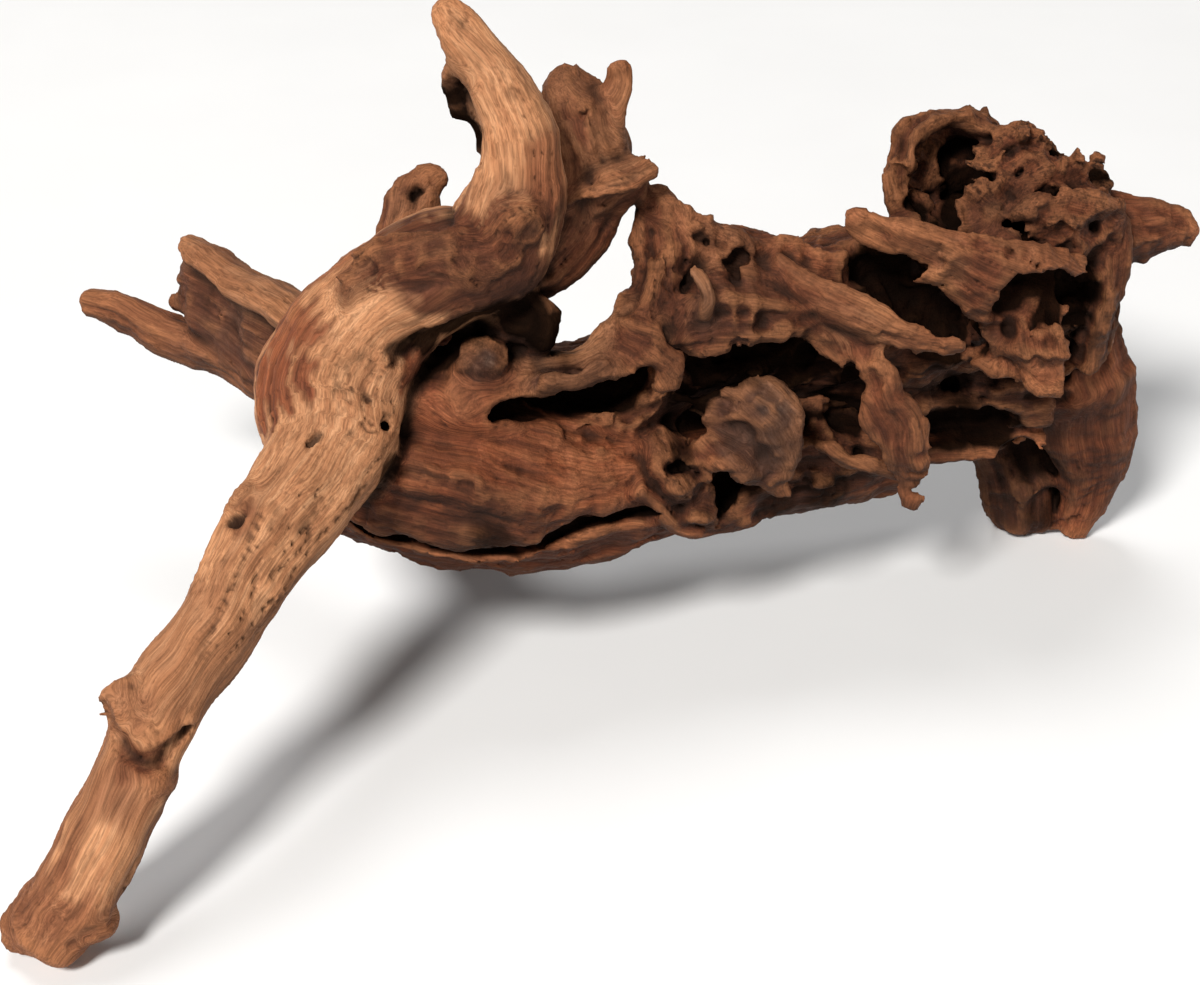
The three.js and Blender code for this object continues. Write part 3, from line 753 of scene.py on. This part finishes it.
def fine_relief(traits, points):
    """Fibres, grit and hairline cracks, too fine for the field. Also returns the cracks alone."""
    place = traits["grain"]
    fibre = noise(place / np.array([1.6, 1.6, 26.0]), 21) * (0.1 + 0.4 * traits["gnarl"])
    crack = ease(0.82, 1.0, ridges(place / np.array([3.4, 3.4, 46.0]), 22))
    crack *= ease(-0.1, 0.5, noise(place / np.array([14.0, 14.0, 60.0]), 23))
    grit = (noise(points / 2.8, 24) * 0.8 + noise(points / 1.7, 25) * 0.4) * traits["gnarl"]
    return (fibre + grit - 1.1 * crack) * ease(0.3, 0.8, traits["sure"] + 0.3), crack


def weathered_skin():
    """Points and quads of the finished skin, and the values that its material reads at each point."""
    points, quads, grid, low = skin_from_field()
    normals = vertex_normals(points, quads)
    parts = list(in_chunks(points))
    traits = {key: np.concatenate([part[1][key] for part in parts]) for key in parts[0][1]}
    whole = np.concatenate([part[2] for part in parts])
    hollow_shade, worn, crease_shade = closeness(grid, low, points, normals)
    # faces turned downward, above the floor, are painted darker as shade on the undersides
    under = ease(0.25, -0.6, normals[:, 2]) * ease(0.0, 30.0, points[:, 2])
    drift = drifted(points, traits["grain"])
    tone = stained(traits["tone"], points, drift)
    # deep is painted shade: enclosed places, wood that shows inside a hollow and the places of painted shade
    # are all painted dark
    deep = with_shade_spots(np.maximum(hollow_shade, ease(-1.5, -7, whole)), points, drift)
    relief, crack = fine_relief(traits, points)
    above = ease(0.3, 3.0, points[:, 2])
    values = {"tone": tone, "form": np.stack([deep, worn, crease_shade], 1),
              "state": np.stack([traits["gnarl"], under, crack], 1), "grain": traits["grain"]}
    return points + normals * (relief * above)[:, None], quads, values


def driftwood_mesh():
    points, quads, values = weathered_skin()
    mesh = bpy.data.meshes.new("driftwood")
    mesh.from_pydata([], [], [])
    mesh.vertices.add(len(points))
    mesh.vertices.foreach_set("co", ((points - CENTRE) * MM).astype(np.float32).ravel())
    mesh.loops.add(quads.size)
    mesh.loops.foreach_set("vertex_index", quads.astype(np.int32).ravel())
    mesh.polygons.add(len(quads))
    mesh.polygons.foreach_set("loop_start", np.arange(0, quads.size, 4, dtype=np.int32))
    mesh.polygons.foreach_set("use_smooth", np.ones(len(quads), bool))
    mesh.update(calc_edges=True)
    mesh.validate()
    for name, each in values.items():
        store(mesh, name, each)
    print("driftwood: %d vertices, %d faces" % (len(points), len(quads)))
    return mesh


def store(mesh, name, values):
    layer = mesh.attributes.new(name, "FLOAT_VECTOR", "POINT")
    layer.data.foreach_set("vector", values.astype(np.float32).ravel())


# ---- material -----------------------------------------------------------------------------
class Nodes:
    """Short ways to add and join the nodes of one material."""

    def __init__(self, name):
        self.material = bpy.data.materials.new(name)
        self.material.use_nodes = True
        self.tree = self.material.node_tree
        self.shader = self.tree.nodes["Principled BSDF"]

    def add(self, kind, **values):
        node = self.tree.nodes.new("ShaderNode" + kind)
        for key, value in values.items():
            setattr(node, key, value)
        return node

    def put(self, socket, value):
        if isinstance(value, bpy.types.NodeSocket):
            self.tree.links.new(value, socket)
        else:
            socket.default_value = value

    def split(self, name):
        layer = self.add("Attribute", attribute_name=name)
        parts = self.add("SeparateXYZ")
        self.put(parts.inputs[0], layer.outputs["Vector"])
        return parts.outputs[:]

    def math(self, kind, a, b):
        node = self.add("Math", operation=kind)
        self.put(node.inputs[0], a)
        self.put(node.inputs[1], b)
        return node.outputs[0]

    def range(self, value, low, high, out_low=0.0, out_high=1.0):
        node = self.add("MapRange")
        for socket, each in zip(node.inputs, (value, low, high, out_low, out_high)):
            self.put(socket, each)
        return node.outputs[0]

    def scaled(self, vector, scale):
        node = self.add("VectorMath", operation="MULTIPLY")
        self.put(node.inputs[0], vector)
        self.put(node.inputs[1], scale)
        return node.outputs[0]

    def noise(self, vector, scale, detail=3.0, rough=0.55):
        node = self.add("TexNoise")
        self.put(node.inputs["Vector"], vector)
        self.put(node.inputs["Scale"], scale)
        self.put(node.inputs["Detail"], detail)
        self.put(node.inputs["Roughness"], rough)
        return node.outputs["Fac"]

    def mix(self, share, a, b):
        node = self.add("Mix", data_type="RGBA")
        self.put(node.inputs[0], share)
        self.put(node.inputs[6], a)
        self.put(node.inputs[7], b)
        return node.outputs[2]

    def ramp(self, value, stops):
        node = self.add("ValToRGB")
        line = node.color_ramp
        for spot, colour in stops[2:]:
            line.elements.new(spot)
        for element, (spot, colour) in zip(line.elements, sorted(stops)):
            element.position = spot
            element.color = rgb(colour)
        self.put(node.inputs[0], value)
        return node.outputs[0]


def rgb(code):
    """Linear colour from an sRGB hex code."""
    parts = [int(code[i:i + 2], 16) / 255 for i in (0, 2, 4)]
    return [p / 12.92 if p < 0.04045 else ((p + 0.055) / 1.055) ** 2.4 for p in parts] + [1.0]


def wood_tones(n, streak, blotch, pale):
    """Brown wood, turned reddish, silver or light as the tone says."""
    _, red, grey = n.split("tone")
    brown = n.ramp(streak, [(0.25, "20100a"), (0.75, "5d3422"), (0.5, "3d2115")])
    reddish = n.ramp(streak, [(0.25, "4c2316"), (0.75, "b86d46"), (0.5, "8f4e31")])
    light = n.ramp(streak, [(0.25, "a06846"), (0.75, "dba479"), (0.5, "c48a61")])
    silver = n.ramp(streak, [(0.25, "30231d"), (0.75, "6f5b4e"), (0.5, "4b3a31")])
    colour = n.mix(red, brown, reddish)
    colour = n.mix(n.math("MULTIPLY", grey, n.range(blotch, 0.35, 0.6, 0.5, 1.0)), colour, silver)
    return n.mix(n.range(pale, 0.15, 0.85), colour, light)


def weather_marks(n, colour, blotch, patch, fibre, worn, gnarl, crack):
    """Rubbed edges, stains in broad patches, fibre streaks and the dark lines of cracks."""
    rubbed = n.math("MULTIPLY", worn, n.range(blotch, 0.3, 0.65, 0.3, 1.0))
    colour = n.mix(rubbed, colour, n.mix(0.6, colour, rgb("b0744c")))
    stain = n.math("MULTIPLY", n.range(patch, 0.5, 0.68), n.range(gnarl, 0.1, 0.7, 0.15, 0.7))
    colour = n.mix(stain, colour, rgb("33251d"))
    colour = n.mix(n.range(fibre, 0.36, 0.6, 0.5, 0.0), colour, rgb("3b2417"))
    return n.mix(n.math("MULTIPLY", crack, 0.75), colour, rgb("24160f"))


def crumbs_and_shade(n, colour, crumb, pale, deep, crease_shade, gnarl, under):
    """Painted shade on the undersides and in creases, dark crumbs of rot, and painted shade in hollows."""
    underside_shade = n.math("MULTIPLY", under, n.range(pale, 0.2, 0.9, 0.75, 0.35))
    colour = n.mix(underside_shade, colour, rgb("1c100b"))
    colour = n.mix(n.math("MULTIPLY", gnarl, n.range(crumb, 0.52, 0.4, 0.0, 0.75)), colour, rgb("1e100a"))
    colour = n.mix(n.math("MULTIPLY", crease_shade, 0.85), colour, rgb("23150e"))
    return n.mix(n.range(deep, 0.06, 0.75, 0.0, 0.95), colour, rgb("100a07"))


def wood_bump(n, spot, streak, fibre, crumb, gnarl):
    height = n.math("ADD", n.math("MULTIPLY", fibre, 0.4), n.math("MULTIPLY", streak, 0.4))
    height = n.math("ADD", height, n.math("MULTIPLY", n.noise(spot, 900.0, 3.0, 0.6), 0.35))
    height = n.math("ADD", height, n.math("MULTIPLY", crumb, n.math("MULTIPLY", gnarl, 3.0)))
    bump = n.add("Bump")
    bump.inputs["Strength"].default_value = 0.75
    bump.inputs["Distance"].default_value = 0.0009
    n.put(bump.inputs["Height"], height)
    return bump.outputs[0]


def wood_material():
    n = Nodes("weathered_wood")
    grain = n.add("Attribute", attribute_name="grain").outputs["Vector"]
    spot = n.add("TexCoord").outputs["Object"]
    pale = n.split("tone")[0]
    # form holds painted shade of hollows, rubbed edges and painted shade of creases; state holds gnarl, the
    # undersides that get painted shade, and cracks
    deep, worn, crease_shade = n.split("form")
    gnarl, under, crack = n.split("state")

    streak = n.noise(n.scaled(grain, (0.42, 0.42, 0.016)), 1.0, 4.0, 0.6)
    fibre = n.noise(n.scaled(grain, (1.5, 1.5, 0.06)), 1.0, 3.0, 0.6)
    blotch = n.noise(spot, 45.0, 3.0, 0.6)
    patch = n.noise(spot, 18.0, 2.0, 0.5)
    crumb = n.noise(spot, 420.0, 5.0, 0.7)

    colour = wood_tones(n, streak, blotch, pale)
    colour = weather_marks(n, colour, blotch, patch, fibre, worn, gnarl, crack)
    colour = crumbs_and_shade(n, colour, crumb, pale, deep, crease_shade, gnarl, under)
    n.put(n.shader.inputs["Base Color"], colour)
    n.put(n.shader.inputs["Roughness"], n.range(fibre, 0.3, 0.7, 0.82, 0.6))
    n.put(n.shader.inputs["Specular IOR Level"], n.range(deep, 0.1, 0.8, 0.13, 0.0))
    n.put(n.shader.inputs["Normal"], wood_bump(n, spot, streak, fibre, crumb, gnarl))
    return n.material


def floor_material():
    n = Nodes("pale_floor")
    tint = n.noise(n.add("TexCoord").outputs["Object"], 6.0)
    n.put(n.shader.inputs["Base Color"], n.ramp(tint, [(0.2, "eeeeee"), (0.8, "f3f3f3")]))
    n.shader.inputs["Roughness"].default_value = 0.7
    n.shader.inputs["Specular IOR Level"].default_value = 0.1
    return n.material


# ---- scene --------------------------------------------------------------------------------
def add_object(name, data):
    made = bpy.data.objects.new(name, data)
    bpy.context.scene.collection.objects.link(made)
    return made


def add_floor():
    half = 6.0
    corners = [(-half, -half, 0), (half, -half, 0), (half, half, 0), (-half, half, 0)]
    mesh = bpy.data.meshes.new("floor")
    mesh.from_pydata(corners, [], [(0, 1, 2, 3)])
    mesh.materials.append(floor_material())
    add_object("floor", mesh)


def add_light(name, place, target, size, watts, colour=(1.0, 1.0, 1.0)):
    data = bpy.data.lights.new(name, "AREA")
    data.shape = "DISK"
    data.size = size
    data.energy = watts
    data.color = colour
    lamp = add_object(name, data)
    lamp.location = place
    lamp.rotation_euler = (Vector(target) - Vector(place)).to_track_quat("-Z", "Y").to_euler()


def add_lights():
    middle = (0, 0, 0.1)
    add_light("key", (-2.2, -4.6, 5.1), middle, size=1.6, watts=590, colour=(1.0, 0.98, 0.95))
    add_light("top", (-1.2, 1.6, 7.3), middle, size=3.2, watts=185)


def add_world():
    """White light from all round, pale near the horizon and dim above."""
    world = bpy.data.worlds.new("studio")
    bpy.context.scene.world = world
    world.use_nodes = True
    tree = world.node_tree
    backdrop = tree.nodes["Background"]
    backdrop.inputs[0].default_value = (1.0, 1.0, 1.0, 1.0)
    ray = tree.nodes.new("ShaderNodeTexCoord")
    parts = tree.nodes.new("ShaderNodeSeparateXYZ")
    fade = tree.nodes.new("ShaderNodeMapRange")
    for socket, value in zip(fade.inputs[1:5], (0.22, 0.45, 0.68, 0.06)):
        socket.default_value = value
    tree.links.new(ray.outputs["Generated"], parts.inputs[0])
    tree.links.new(parts.outputs[2], fade.inputs[0])
    tree.links.new(fade.outputs[0], backdrop.inputs[1])


def add_camera():
    elevation = math.radians(VIEW_ELEVATION)
    target = VIEW_TARGET - CENTRE
    back = np.array([0, -math.cos(elevation), math.sin(elevation)])
    data = bpy.data.cameras.new("camera")
    data.lens = 70
    data.sensor_width = 36
    camera = add_object("camera", data)
    camera.location = (target + back * VIEW_DISTANCE) * MM
    camera.rotation_euler = Vector(back).to_track_quat("Z", "Y").to_euler()
    bpy.context.scene.camera = camera


# a limb's place in this list sets its noise, so the order is part of the shape
LIMBS = prepare([*trunk(), *back_left_roots(), *trunk_front(), *head(), *right_foot(), *second_branch(),
                 *leg_arm_horn()], first_seed=1)
HOLLOWS = prepare(hollows(), first_seed=101)

wood = add_object("driftwood_wood", driftwood_mesh())
wood.data.materials.append(wood_material())
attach(wood, "root")
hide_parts("driftwood")

add_floor()
add_lights()
add_world()
add_camera()
bpy.context.scene.view_settings.view_transform = "Standard"
